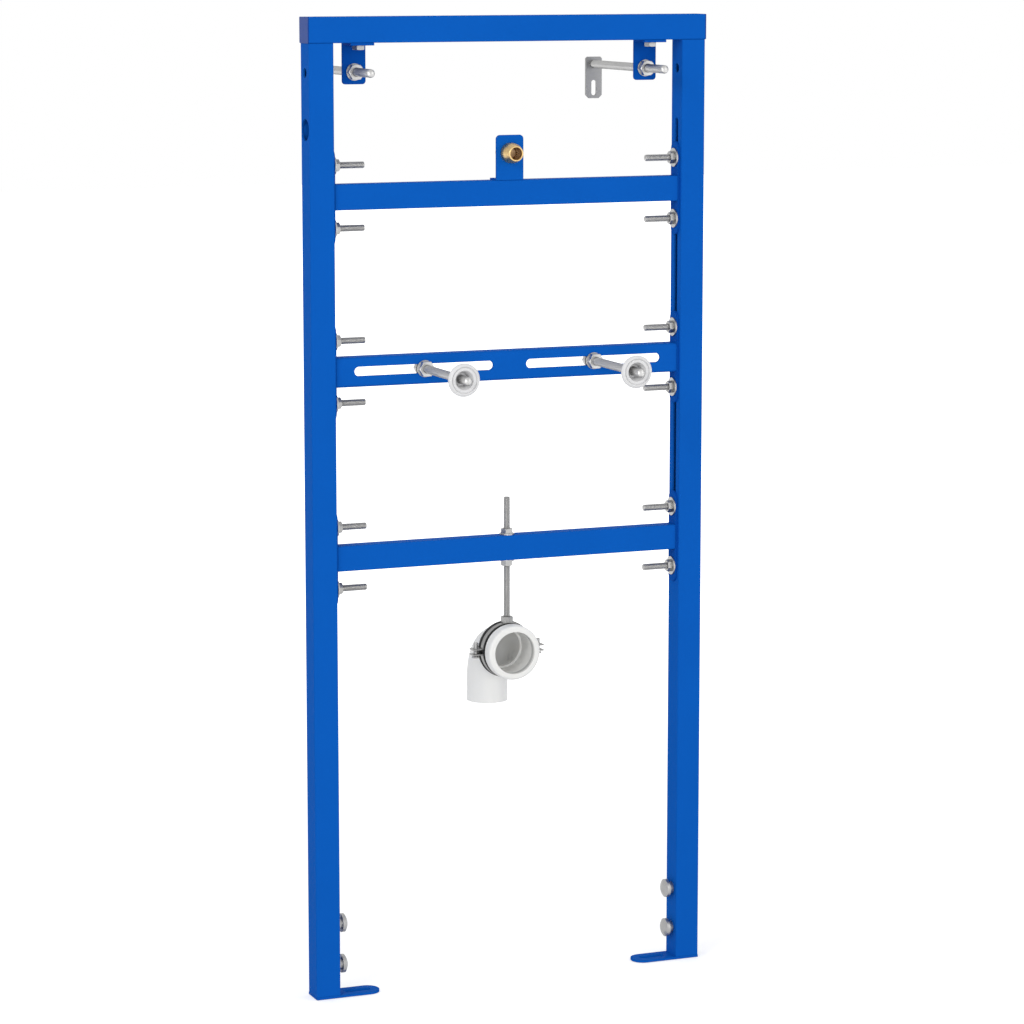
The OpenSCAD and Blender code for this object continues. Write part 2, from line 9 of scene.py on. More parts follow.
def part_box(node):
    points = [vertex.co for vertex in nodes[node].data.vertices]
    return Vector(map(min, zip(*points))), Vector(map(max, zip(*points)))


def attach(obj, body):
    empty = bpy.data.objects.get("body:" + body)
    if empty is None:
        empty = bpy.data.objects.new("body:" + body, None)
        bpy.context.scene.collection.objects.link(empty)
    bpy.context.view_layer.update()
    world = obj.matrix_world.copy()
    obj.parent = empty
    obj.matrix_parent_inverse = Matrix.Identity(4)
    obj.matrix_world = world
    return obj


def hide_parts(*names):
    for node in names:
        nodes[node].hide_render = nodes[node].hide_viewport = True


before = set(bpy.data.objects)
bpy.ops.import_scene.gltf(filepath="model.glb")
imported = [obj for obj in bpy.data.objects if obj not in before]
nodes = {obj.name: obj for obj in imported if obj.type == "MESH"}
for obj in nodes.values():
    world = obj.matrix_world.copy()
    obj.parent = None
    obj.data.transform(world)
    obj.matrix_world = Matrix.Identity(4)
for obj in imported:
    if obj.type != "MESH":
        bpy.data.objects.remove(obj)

# Urinal installation frame: the steel frame comes packed, this script dresses it.
# Metres throughout; +X to the right leg, +Y back to the wall, +Z up.

scene = bpy.context.scene
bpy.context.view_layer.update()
mm = 0.001
middleX = 0.235                 # the frame is the same left and right of this plane


# Camera

view = {
    "place": (-1.386, -3.975, 1.243),
    "turn": 22.27,              # degrees to the right of straight ahead
    "tilt": 8.89,               # degrees down
    "focalPixels": 3635,        # focal length in a picture of this width
    "pictureWidth": 1024,
    "sensorWidth": 36,
    "clip": (0.1, 100),
}


def makeCamera(v):
    data = bpy.data.cameras.new("photoView")
    data.sensor_width = v["sensorWidth"]
    data.lens = v["focalPixels"] / v["pictureWidth"] * v["sensorWidth"]
    data.clip_start, data.clip_end = v["clip"]
    cam = bpy.data.objects.new("photoView", data)
    cam.location = v["place"]
    cam.rotation_euler = (math.radians(90 - v["tilt"]), 0, -math.radians(v["turn"]))
    scene.collection.objects.link(cam)
    scene.camera = cam


makeCamera(view)
print("camera placed")


# Node trees: arithmetic on a Value adds Math nodes, Graph.add makes every other node

class Value:
    def __init__(self, graph, socket):
        self.graph = graph
        self.socket = socket

    def maths(self, operation, *numbers):
        return self.graph.add("ShaderNodeMath", {"operation": operation}, dict(enumerate(numbers)))

    def __add__(self, other):
        return self.maths("ADD", self, other)

    def __radd__(self, other):
        return self.maths("ADD", other, self)

    def __sub__(self, other):
        return self.maths("SUBTRACT", self, other)

    def __rsub__(self, other):
        return self.maths("SUBTRACT", other, self)

    def __mul__(self, other):
        return self.maths("MULTIPLY", self, other)

    def __rmul__(self, other):
        return self.maths("MULTIPLY", other, self)

    def __truediv__(self, other):
        return self.maths("DIVIDE", self, other)

    def __rtruediv__(self, other):
        return self.maths("DIVIDE", other, self)

    def floor(self):
        return self.maths("FLOOR", self)

    def ceiling(self):
        return self.maths("CEIL", self)

    def fraction(self):
        return self.maths("FRACT", self)

    def cosine(self):
        return self.maths("COSINE", self)

    def sine(self):
        return self.maths("SINE", self)

    def least(self, other):
        return self.maths("MINIMUM", self, other)

    def most(self, other):
        return self.maths("MAXIMUM", self, other)

    def over(self, other):
        return self.maths("GREATER_THAN", self, other)

    def span(self, low, high):
        # 0 up to low, 1 from high on
        return ((self - low) / (high - low)).most(0).least(1)

    def within(self, low, high):
        # From 0 to 1 becomes from low to high
        return self * (high - low) + low

    def mixed(self, other, share):
        # This value has the share, the other one the rest
        return self * share + other * (1 - share)


class Graph:
    def __init__(self, tree):
        self.tree = tree
        tree.nodes.clear()

    def feed(self, place, value):
        if isinstance(value, Value):
            self.tree.links.new(value.socket, place)
        else:
            place.default_value = value

    def add(self, kind, settings, sockets, output=0):
        node = self.tree.nodes.new(kind)
        for key, value in settings.items():
            setattr(node, key, value)
        for key, value in sockets.items():
            self.feed(node.inputs[key], value)
        return Value(self, node.outputs[output]) if node.outputs else None


softEdges = {
    "samples": 6,
    "radius": 0.4 * mm,         # edges look rounded by this much
    "fullBend": 0.22,           # 1 less the cosine of the bend that counts as a full edge
}


class Finish(Graph):
    def __init__(self, name):
        self.material = bpy.data.materials.new(name)
        self.material.use_nodes = True
        super().__init__(self.material.node_tree)

    def spot(self, stretch=(1, 1, 1)):
        # The piece's own coordinates in metres, squeezed or stretched along each axis
        own = self.add("ShaderNodeTexCoord", {}, {}, "Object")
        return self.add("ShaderNodeMapping", {}, {"Vector": own, "Scale": stretch})

    def distance(self, point, counted=(1, 1, 1)):
        # How far a place is from the point, along the axes that are counted
        away = self.add("ShaderNodeVectorMath", {"operation": "SUBTRACT"}, {0: self.spot(), 1: point})
        away = self.add("ShaderNodeVectorMath", {"operation": "MULTIPLY"}, {0: away, 1: counted})
        return self.add("ShaderNodeVectorMath", {"operation": "LENGTH"}, {0: away}, "Value")

    def noise(self, spot, size, detail=2.0, roughness=0.5):
        # From 0 to 1, in lumps about size metres across
        return self.add("ShaderNodeTexNoise", {}, {
            "Vector": spot, "Scale": 1 / size, "Detail": detail, "Roughness": roughness}, "Fac")

    def shades(self, amount, dark, light):
        sockets = {0: amount, 6: dark, 7: light}
        for key in (6, 7):
            if not isinstance(sockets[key], Value):
                sockets[key] = (*sockets[key], 1)
        return self.add("ShaderNodeMix", {"data_type": "RGBA"}, sockets, 2)

    def rounding(self, reach):
        # The normal averaged over reach, which makes edges look rounded
        return self.add("ShaderNodeBevel", {"samples": softEdges["samples"]}, {"Radius": reach})

    def bump(self, height, depth):
        # Relief on top of edges that look rounded
        return self.add("ShaderNodeBump", {}, {
            "Height": height, "Distance": depth, "Normal": self.rounding(softEdges["radius"])})

    def corners(self, reach):
        # 0 on flats, 1 on an edge
        plain = self.add("ShaderNodeNewGeometry", {}, {}, "Normal")
        flat = self.add("ShaderNodeVectorMath", {"operation": "DOT_PRODUCT"},
                        {0: self.rounding(reach), 1: plain}, "Value")
        return (1 - flat).span(0.0, softEdges["fullBend"])

    def clouded(self, amount, base, p):
        # The base colour from its darkest to its lightest shade, with another shade on edges
        darkest, lightest = p["shades"]
        even = self.shades(amount, times(base, darkest), times(base, lightest))
        edge = self.corners(p["edgeReach"])
        return self.shades(edge * p["edgeShare"], even, times(base, p["edgeShade"]))

    def surface(self, sockets):
        shader = self.add("ShaderNodeBsdfPrincipled", {}, sockets)
        self.add("ShaderNodeOutputMaterial", {}, {"Surface": shader})
        return self.material


def linear(colour):
    # Screen colour 0 to 255, as a picture shows it, to the renderer's own values
    return tuple(((c / 255 + 0.055) / 1.055) ** 2.4 if c > 10 else c / 255 / 12.92 for c in colour)


def times(colour, factor):
    return tuple(min(1, c * factor) for c in colour)


powderCoat = {
    "cloudSize": 90 * mm,       # slow changes of shade along a tube
    "cloudShare": 0.7,          # of the shade, the grain has the rest
    "shades": (0.92, 1.08),
    "peelSize": 1.8 * mm,       # orange peel of the sprayed coat
    "peelDepth": 0.07 * mm,
    "peelShare": 0.4,           # of the roughness, the clouds have the rest
    "grainSize": 0.35 * mm,
    "grainRelief": 0.15,        # beside the peel's relief of 1
    "edgeReach": 1.4 * mm,      # painted shade: edges are darker, as where the coat turns away from the light
    "edgeShade": 0.5,
    "edgeShare": 0.7,
    "roughness": (0.38, 0.50),
    "specular": 0.004,
}


def powderCoated(name, colour):
    p = powderCoat
    f = Finish(name)
    spot = f.spot()
    cloud = f.noise(spot, p["cloudSize"], detail=3)
    peel = f.noise(spot, p["peelSize"], detail=1)
    grain = f.noise(spot, p["grainSize"], detail=0)
    return f.surface({
        # The colour carries painted shade along the edges
        "Base Color": f.clouded(cloud.mixed(grain, p["cloudShare"]), linear(colour), p),
        "Roughness": peel.mixed(cloud, p["peelShare"]).within(*p["roughness"]),
        "Normal": f.bump(peel + grain * p["grainRelief"], p["peelDepth"]),
        "Specular IOR Level": p["specular"],
    })


plating = {
    "tint": (1.0, 0.995, 0.985),
    "patchSize": 16 * mm,       # faint clouds from the bath
    "patchShare": 0.6,          # of the shade, the specks have the rest
    "shades": (0.80, 1.20),
    "speckSize": 1.1 * mm,
    "speckRelief": 0.5,         # beside the drawn lines' relief of 1
    "drawnSize": 0.5 * mm,      # fine lines of the drawn wire and the rolled sheet
    "drawnDepth": 0.006 * mm,
    "drawnShare": 0.5,          # of the roughness, the patches have the rest
    "edgeReach": 0.5 * mm,      # rubbed brighter on edges
    "edgeShade": 1.35,
    "edgeShare": 0.6,
    "roughness": (0.30, 0.44),
}


def zincPlated(name, grey, drawn=(1, 0.1, 1)):
    # The lines run along the axis in which the drawn stretch is small
    p = plating
    f = Finish(name)
    spot = f.spot()
    patch = f.noise(spot, p["patchSize"], detail=4, roughness=0.6)
    speck = f.noise(spot, p["speckSize"])
    lines = f.noise(f.spot(drawn), p["drawnSize"])
    return f.surface({
        "Base Color": f.clouded(patch.mixed(speck, p["patchShare"]), times(p["tint"], grey), p),
        "Metallic": 1.0,
        "Roughness": lines.mixed(patch, p["drawnShare"]).within(*p["roughness"]),
        "Normal": f.bump(lines + speck * p["speckRelief"], p["drawnDepth"]),
    })


turnedBrass = {
    "bright": (219, 192, 140),
    "dark": (200, 168, 112),
    "bore": (172, 136, 86),     # painted shade: darker and browner inside the mouth, where the bore lies in shade
    "worn": (0.86, 0.74, 0.50),  # rubbed brighter on edges, in the renderer's own values
    "edgeReach": 0.4 * mm,
    "edgeShare": 0.5,
    "stainSize": 9 * mm,
    "axisPoint": (middleX, 0, 1.0),
    "boreRadius": 7.3 * mm,
    "boreFade": 0.4 * mm,
    "grooveSize": 0.35 * mm,    # fine rings left by the turning tool
    "grooveStretch": (0.02, 1, 0.02),
    "grooveDepth": 0.012 * mm,
    "grooveRoughness": 0.12,
    "boreRoughness": 0.46,
    "outsideRoughness": 0.32,
}


def brassTurned(name):
    # The fitting is turned round an axis along Y, so its rings change along Y alone
    p = turnedBrass
    f = Finish(name)
    stain = f.noise(f.spot(), p["stainSize"], detail=3, roughness=0.6)
    rings = f.noise(f.spot(p["grooveStretch"]), p["grooveSize"], detail=1)
    even = f.shades(stain, linear(p["dark"]), linear(p["bright"]))
    worn = f.shades(f.corners(p["edgeReach"]) * p["edgeShare"], even, p["worn"])
    fromAxis = f.distance(p["axisPoint"], counted=(1, 0, 1))
    outside = fromAxis.span(p["boreRadius"], p["boreRadius"] + p["boreFade"])
    smoother = outside * (p["boreRoughness"] - p["outsideRoughness"])
    return f.surface({
        # Painted shade inside the bore, the plain brass outside it
        "Base Color": f.shades(outside, linear(p["bore"]), worn),
        "Metallic": 1.0,
        "Roughness": rings * p["grooveRoughness"] + p["boreRoughness"] - smoother,
        "Normal": f.bump(rings, p["grooveDepth"]),
    })


plasticSkin = {
    "flowSize": 60 * mm,        # faint clouds where the plastic flowed
    "flowRelief": 0.5,          # beside the fine skin's relief of 1
    "shades": (0.96, 1.04),
    "fineSize": 0.5 * mm,       # matt skin left by the mould
    "fineDepth": 0.02 * mm,
    "fineRoughness": 0.08,
    "edgeReach": 0.6 * mm,
    "edgeShade": 1.10,
    "edgeShare": 0.35,
    "glowScale": 4 * mm,        # how far light goes in, where the plastic glows
    "glowRadius": (1.0, 0.95, 0.9),
}


def moulded(name, colour, roughness, specular=0.35, glow=0.0):
    p = plasticSkin
    f = Finish(name)
    spot = f.spot()
    flow = f.noise(spot, p["flowSize"])
    fine = f.noise(spot, p["fineSize"], detail=1)
    return f.surface({
        "Base Color": f.clouded(flow, linear(colour), p),
        "Roughness": fine * p["fineRoughness"] + roughness,
        "Normal": f.bump(fine + flow * p["flowRelief"], p["fineDepth"]),
        "Specular IOR Level": specular,
        "Subsurface Weight": glow,
        "Subsurface Scale": p["glowScale"],
        "Subsurface Radius": p["glowRadius"],
    })


rubberSkin = {
    "dustSize": 7 * mm,
    "dustRoughness": 0.15,
    "roughness": 0.62,
    "fineSize": 0.4 * mm,
    "fineDepth": 0.03 * mm,
    "specular": 0.3,
}


def rubbery(name, dark, light):
    p = rubberSkin
    f = Finish(name)
    spot = f.spot()
    dust = f.noise(spot, p["dustSize"], detail=4, roughness=0.7)
    fine = f.noise(spot, p["fineSize"], detail=1)
    return f.surface({
        "Base Color": f.shades(dust, dark, light),
        "Roughness": dust * p["dustRoughness"] + p["roughness"],
        "Normal": f.bump(fine, p["fineDepth"]),
        "Specular IOR Level": p["specular"],
    })


finishes = {
    "tube": powderCoated("bluePowderCoat", (13, 90, 184)),
    # Painted shade: the same blue coat made darker, for the end plates and top brackets that lie in shade
    "plate": powderCoated("bluePowderCoatPlatesPaintedShade", (10, 80, 172)),
    "plug": moulded("navyPlastic", (0, 57, 138), 0.42, specular=0.2),
    "zinc": zincPlated("zincPlate", 0.39),
    "upright": zincPlated("zincPlateUpright", 0.30, drawn=(1, 1, 0.1)),
    "dullZinc": zincPlated("zincPlateDull", 0.27, drawn=(1, 1, 1)),
    "nut": zincPlated("zincPlateNuts", 0.38, drawn=(1, 1, 1)),
    # Painted highlight: the same zinc made lighter, for the studs and nuts whose tops catch the light
    "zincPaintedHighlight": zincPlated("zincPlatePaintedHighlight", 0.48),
    "brass": brassTurned("brassTurned"),
    "cap": moulded("whiteCapPlastic", (221, 221, 222), 0.36, glow=0.1),
    "pipe": moulded("whitePipePlastic", (232, 232, 230), 0.38, glow=0.2),
    "rubber": rubbery("blackRubber", (0.008, 0.008, 0.009), (0.022, 0.022, 0.023)),
    "seal": rubbery("greySealRubber", (0.44, 0.44, 0.44), (0.56, 0.56, 0.56)),
}
print("finishes made:", len(finishes))


# Mesh helpers

meshCare = {
    "weld": 2e-6,               # vertices that are nearer than this are one
    "flatAngle": 0.4,           # degrees between faces that are joined as one flat face
    "samePlace": 1e-5,          # twins may differ by this much in shape
    "foldLimit": -0.8,          # cosine between neighbouring faces, below it the mesh is folded
    "leastCross": 1e-12,        # square metres, triangles that are smaller have no side
    "roundFrom": 32,            # degrees, edges that are sharper than this are rounded
    "roundSegments": 2,
    "roundTrials": (1.0, 0.8, 0.6, 0.45, 0.35, 0.25),
    "shadeFrom": 40,            # degrees, edges that are sharper than this stay sharp in the shading
}


def linked(name, mesh):
    piece = bpy.data.objects.new(name, mesh)
    scene.collection.objects.link(piece)
    return piece


def settled(piece):
    # Replaces a piece's live modifiers by their result
    graph = bpy.context.evaluated_depsgraph_get()
    mesh = bpy.data.meshes.new_from_object(piece.evaluated_get(graph))
    old = piece.data
    piece.modifiers.clear()
    piece.data = mesh
    bpy.data.meshes.remove(old)
    return piece


def finished(piece, finish, nodeName):
    # Gives the piece its finish and puts it in the place of a CAD node
    piece.data.materials.clear()
    piece.data.materials.append(finish)
    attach(piece, "root")
    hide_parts(nodeName)
    return piece


def shaded(mesh, sharpFrom):
    # Smooth shading that stays sharp on edges over sharpFrom degrees
    mesh.shade_smooth()
    mesh.set_sharp_from_angle(angle=math.radians(sharpFrom))


def meshFrom(form, name):
    mesh = bpy.data.meshes.new(name)
    form.to_mesh(mesh)
    form.free()
    return mesh


def weldedForm(nodeName):
    # A CAD node is loose triangles, here they hang together
    form = bmesh.new()
    form.from_mesh(nodes[nodeName].data)
    bmesh.ops.remove_doubles(form, verts=form.verts, dist=meshCare["weld"])
    return form


def mergedCopy(nodeName):
    # Welded copy of a CAD node whose flat faces are joined
    form = weldedForm(nodeName)
    flat = math.radians(meshCare["flatAngle"])
    bmesh.ops.dissolve_limit(form, angle_limit=flat, verts=form.verts, edges=form.edges)
    return meshFrom(form, nodeName)


def mirroredTwin(nodeName):
    # Merged copy of the node's twin on the other side, turned over to this side
    swap = {"left": "right", "right": "left"}
    mesh = mergedCopy("_".join(swap.get(word, word) for word in nodeName.split("_")))
    mesh.transform(Matrix.Translation((2 * middleX, 0, 0)) @ Matrix.Diagonal((-1, 1, 1, 1)))
    mesh.flip_normals()
    return mesh


def isSameShape(first, second):
    tree = KDTree(len(second.vertices))
    for vert in second.vertices:
        tree.insert(vert.co, vert.index)
    tree.balance()
    return all(tree.find(vert.co)[2] < meshCare["samePlace"] for vert in first.vertices)


def isFolded(edge):
    # True if the faces on both sides of the edge lie nearly on each other
    first, second = edge.link_faces
    return first.normal.dot(second.normal) <= meshCare["foldLimit"]


def isTurnedOver(corners):
    # True if a triangle of a face looks the other way than its face
    a, b, c = (corner.vert.co for corner in corners)
    across = (b - a).cross(c - a)
    return across.length > meshCare["leastCross"] and across.dot(corners[0].face.normal) < 0


def isSound(mesh):
    # True if the mesh is closed and no face is folded over
    form = bmesh.new()
    form.from_mesh(mesh)
    form.normal_update()
    sound = all(edge.is_manifold for edge in form.edges)
    sound = sound and not any(isFolded(edge) for edge in form.edges)
    sound = sound and not any(isTurnedOver(corners) for corners in form.calc_loop_triangles())
    form.free()
    return sound


def addBevel(piece, width):
    bevel = piece.modifiers.new("edges", "BEVEL")
    bevel.width = width
    bevel.segments = meshCare["roundSegments"]
    return bevel


def rounded(mesh, width):
    # Trial copy of the mesh with its sharp edges rounded by width
    piece = linked("trial", mesh.copy())
    bevel = addBevel(piece, width)
    bevel.limit_method = "ANGLE"
    bevel.angle_limit = math.radians(meshCare["roundFrom"])
    bevel.use_clamp_overlap = True
    settled(piece)
    result = piece.data
    bpy.data.objects.remove(piece)
    return result


def softened(name, nodeName, finish, width):
    # Dressed copy of a CAD node: the widest rounding of its edges that leaves the mesh sound.
    # The twin has other faces on the same shape, so it may take a rounding that the node can't.
    plain = mergedCopy(nodeName)
    twin = mirroredTwin(nodeName)
    sources = [plain, twin] if isSameShape(plain, twin) else [plain]
    for part, source in itertools.product(meshCare["roundTrials"], sources):
        mesh = rounded(source, width * part)
        if isSound(mesh):
            break
    else:
        mesh, part = plain, 0
    print(name, "edges rounded by", round(width * part / mm, 2), "mm")
    piece = linked(name, mesh)
    shaded(mesh, meshCare["shadeFrom"])
    weight = piece.modifiers.new("flat", "WEIGHTED_NORMAL")
    weight.keep_sharp = True
    settled(piece)
    return finished(piece, finish, nodeName)


# Steel: tubes and plates with the small radius that the coat leaves on an edge

edges = {
    "tube": 0.5 * mm,
    "plate": 0.45 * mm,
    "washer": 0.3 * mm,
    "plastic": 0.35 * mm,
}

endPlates = [rail + "_" + side + "_end_plate"
             for rail in ("upper", "slotted", "lower") for side in ("left", "right")]

softNodes = [                   # slot, finish, kind of edge and nodes
    ("blue_paint", "tube", "tube", ["left_leg", "right_leg", "top_rail"]),
    ("blue_paint", "tube", "tube", ["upper_rail", "slotted_rail", "lower_rail"]),
    ("blue_paint", "plate", "plate", [*endPlates, "left_top_bracket", "right_top_bracket"]),
    ("blue_paint", "tube", "plate", ["left_foot", "right_foot", "water_bracket"]),
    ("zinc", "dullZinc", "washer", ["left_wall_plate", "right_wall_plate"]),
    ("zinc", "zinc", "washer", ["side_washers", "wall_stud_washers", "fixing_washers"]),
    ("zinc", "dullZinc", "washer", ["clamp_upper_half", "clamp_lower_half"]),
    ("plug_plastic", "plug", "plastic", ["rail_end_plugs"]),
]


def pieceName(nodeName):
    first, *rest = nodeName.split("_")
    return first + "".join(word.capitalize() for word in rest)


for slotName, finishName, edgeName, names in softNodes:
    for nodeName in names:
        softened(pieceName(nodeName), nodeName, finishes[finishName], edges[edgeName])
print("steel dressed")


# Plain finishes of the CAD nodes that keep their own mesh

keptNodes = {
    "zinc": ["foot_clamp_bolts", "bracket_screws"],
    "nut": ["side_nuts", "hanger_nuts"],
    "zincPaintedHighlight": ["wall_stud_nuts", "fixing_nuts"],
    "brass": ["fitting_lock_nut"],
    "seal": ["socket_seal"],
    "pipe": ["waste_bend"],
}
for finishName, names in keptNodes.items():
    for nodeName in names:
        for materialSlot in nodes[nodeName].material_slots:
            materialSlot.material = finishes[finishName]
print("kept nodes coloured")


# Turned and moulded rings, from a closed outline that runs round an axis along Y.
# The outline lists radius and distance in front of frontY, in millimetres.

def ringPiece(name, nodeName, r):
    low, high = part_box(nodeName)
    centre = (low + high) / 2
    form = bmesh.new()
    rows = []
    for k in range(r["steps"]):
        turn = math.tau * k / r["steps"]
        row = []
        for radius, out in r["outline"]:
            x = centre.x + radius * mm * math.cos(turn)
            z = centre.z + radius * mm * math.sin(turn)
            row.append(form.verts.new((x, r["frontY"] - out * mm, z)))
        rows.append(row)
    for row, following in zip(rows, rows[1:] + rows[:1]):
        for i in range(len(row)):
            j = (i + 1) % len(row)
            form.faces.new((row[i], row[j], following[j], following[i]))
    bmesh.ops.recalc_face_normals(form, faces=form.faces)
    mesh = meshFrom(form, name)
    shaded(mesh, r["shadeFrom"])
    return linked(name, mesh)


fixingCap = {
    "frontY": -0.1345,          # back of the flange
    "steps": 96,
    "shadeFrom": 30,
    "outline": [
        (5.15, -20), (8.5, -20), (9.0, -19.5), (9.75, -0.9), (10.3, -0.15), (10.9, 0),      # sleeve
        (18.85, 0), (19.25, 0.4), (19.25, 2.0), (19.0, 2.5), (17.0, 4.2), (16.4, 4.5),      # bevelled rim
        (16.0, 4.5), (15.5, 4.1), (15.3, 2.6), (14.6, 2.5), (14.3, 3.3),                    # groove
        (11.5, 3.5), (10.9, 3.1),                                                           # sunk face
        (10.5, 1.4), (9.7, 0.2), (8.5, -2.6), (7.9, -9.0), (7.4, -9.5), (5.15, -9.6),       # cup
    ],
}

waterFitting = {
    "frontY": 0,
    "steps": 96,
    "shadeFrom": 25,
    "outline": [
        (7.0, -9.4), (7.6, -10), (9.9, -10), (10.5, -9.4), (10.5, 10.0), (11.6, 10.0),      # tail
        (12.0, 10.4), (12.0, 17.6), (11.9, 19.2), (11.5, 21.4), (10.9, 23.8),               # barrel
        (10.2, 26.2), (9.6, 28.2), (9.3, 29.4),
        (9.1, 30.0), (8.5, 30.5), (7.7, 30.5), (7.1, 29.9),                                 # mouth
        (7.0, 29.0), (6.8, 28.6), (6.8, 14.0), (6.0, 13.0), (6.0, 4.0), (7.0, 3.0),         # stepped bore
    ],
}

clampLining = {
    "frontY": 0,
    "steps": 128,
    "shadeFrom": 50,
    "outline": [
        (29.0, 7.6), (31.9, 7.6), (32.6, 7.3), (32.9, 6.8), (32.8, 6.3), (32.5, 6.05),      # front lip
        (31.98, 6.0), (31.98, -2.0),                                                        # under the band
        (33.4, -2.05), (34.1, -2.6), (34.3, -3.6), (34.3, -6.6), (34.0, -7.6),              # rear lip
        (33.2, -8.2), (29.0, -8.3),
    ],
}

for side in ("left", "right"):
    nodeName = side + "_fixing_cap"
    cap = ringPiece(side + "FixingCap", nodeName, fixingCap)
    finished(cap, finishes["cap"], nodeName)

fitting = ringPiece("waterFitting", "water_fitting", waterFitting)
finished(fitting, finishes["brass"], "water_fitting")

lining = ringPiece("clampLining", "clamp_lining", clampLining)
finished(lining, finishes["rubber"], "clamp_lining")
print("caps, water fitting and clamp lining made")


# Threaded rods: a rolled thread from Geometry Nodes, one rod on each point

thread = {
    "aroundSteps": 20,
    "ridge": 0.55,              # height of the rolled ridge, in pitches
    "flank": 0.07,              # how far each second row is drawn back, in turns
    "tipSlope": 1.0,            # cone at each end
    "tipDepth": 1.1,            # depth of the cone's end below the crest, in ridges
    "extraTurns": 2,            # beyond the rod's length, pressed flat at its ends
    "lead": 1.25,               # turns by which the thread starts below the rod's end
    "shadeFrom": 62,
}


def makeThreadTree(t):
    tree = bpy.data.node_groups.new("threadedRods", "GeometryNodeTree")
    face = tree.interface
    face.new_socket("Points", in_out="INPUT", socket_type="NodeSocketGeometry")
    for name in ("Radius", "Pitch", "Length"):
        face.new_socket(name, in_out="INPUT", socket_type="NodeSocketFloat")
    face.new_socket("Finish", in_out="INPUT", socket_type="NodeSocketMaterial")
    face.new_socket("Rods", in_out="OUTPUT", socket_type="NodeSocketGeometry")
    g = Graph(tree)
    given = tree.nodes.new("NodeGroupInput").outputs
    points, radius, pitch, length, finish = (Value(g, given[n]) for n in (
        "Points", "Radius", "Pitch", "Length", "Finish"))

    # A sheet one metre square: across it once round the rod, along it a few rows for each turn
    turnRows = 4
    rows = ((length / pitch).ceiling() + t["extraTurns"]) * turnRows
    sheet = g.add("GeometryNodeMeshGrid", {}, {
        "Size X": 1, "Size Y": 1, "Vertices X": t["aroundSteps"] + 1, "Vertices Y": rows + 1})
    place = g.add("GeometryNodeInputPosition", {}, {})
    across = g.add("ShaderNodeSeparateXYZ", {}, {0: place}, 0) + 0.5
    along = g.add("ShaderNodeSeparateXYZ", {}, {0: place}, 1) + 0.5
    row = (along * rows + 0.5).floor()
    turn = row / turnRows

    # The first two rows of a turn lie in the root, the other two on the ridge
    crest = turn.fraction().over(0.4)
    second = (row / 2).fraction() * 2
    height = (turn - t["lead"] + across - second * t["flank"]) * pitch
    height = height.most(0).least(length)
    toEnd = height.least(length - height)
    ridge = pitch * t["ridge"]
    cone = radius - ridge * t["tipDepth"] + toEnd * t["tipSlope"]
    reach = (radius - (1 - crest) * ridge).least(cone)

    # The first and the last row lie on the axis and close the ends
    reach = reach * row.over(0.5) * (1 - row.over(rows - 0.5))
    angle = across * math.tau
    spiral = g.add("ShaderNodeCombineXYZ", {}, {
        0: reach * angle.cosine(), 1: reach * angle.sine(), 2: height})
    rod = g.add("GeometryNodeSetPosition", {}, {"Geometry": sheet, "Position": spiral})
    rod = g.add("GeometryNodeMergeByDistance", {}, {"Geometry": rod, "Distance": meshCare["weld"]})

    facing = g.add("GeometryNodeInputNamedAttribute", {"data_type": "FLOAT_VECTOR"}, {"Name": "facing"})
    turned = g.add("FunctionNodeAlignRotationToVector", {"axis": "Z"}, {"Vector": facing})
    rods = g.add("GeometryNodeInstanceOnPoints", {}, {
        "Points": points, "Instance": rod, "Rotation": turned})
    rods = g.add("GeometryNodeRealizeInstances", {}, {0: rods})
    rods = g.add("GeometryNodeSetMaterial", {}, {"Geometry": rods, "Material": finish})
    g.add("NodeGroupOutput", {}, {0: rods})
    return tree


threadTree = makeThreadTree(thread)
pitches = {"M10": 1.5 * mm, "M8": 1.25 * mm, "M6": 1.0 * mm}


def pointsMesh(name, starts, direction):
    # Loose points that carry the direction in which each rod runs
    mesh = bpy.data.meshes.new(name)
    mesh.from_pydata([tuple(p) for p in starts], [], [])
    facing = mesh.attributes.new("facing", "FLOAT_VECTOR", "POINT")
    for i, place in enumerate(starts):
        facing.data[i].vector = direction(place) if callable(direction) else direction
    return mesh


def threadedRods(name, starts, direction, radius, pitch, length, finish):
    piece = linked(name, pointsMesh(name, starts, direction))
    rods = piece.modifiers.new("thread", "NODES")
    rods.node_group = threadTree
    values = {"Radius": radius, "Pitch": pitch, "Length": length, "Finish": finish}
    for item in threadTree.interface.items_tree:
        if item.name in values and item.in_out == "INPUT":
            rods[item.identifier] = values[item.name]
    settled(piece)
    form = bmesh.new()
    form.from_mesh(piece.data)
    bmesh.ops.recalc_face_normals(form, faces=form.faces)
    form.to_mesh(piece.data)
    form.free()
    shaded(piece.data, thread["shadeFrom"])
    return piece


def rodFromNode(name, nodeName, direction, pitch, finish):
    # Thread over the whole length of a straight CAD rod
    low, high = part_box(nodeName)
    axis = Vector(direction)
    size = high - low
    length = abs(size.dot(axis))
    start = (low + high) / 2 - axis * length / 2
    piece = threadedRods(name, [start], direction, min(size) / 2, pitch, length, finish)
    return finished(piece, finish, nodeName)


for side in ("left", "right"):
    for kind in ("wall_stud", "fixing_stud"):
        nodeName = side + "_" + kind
        rodFromNode(pieceName(nodeName), nodeName, (0, -1, 0), pitches["M10"], finishes["zincPaintedHighlight"])
rodFromNode("hangerRod", "hanger_rod", (0, 0, 1), pitches["M8"], finishes["upright"])
print("studs threaded")


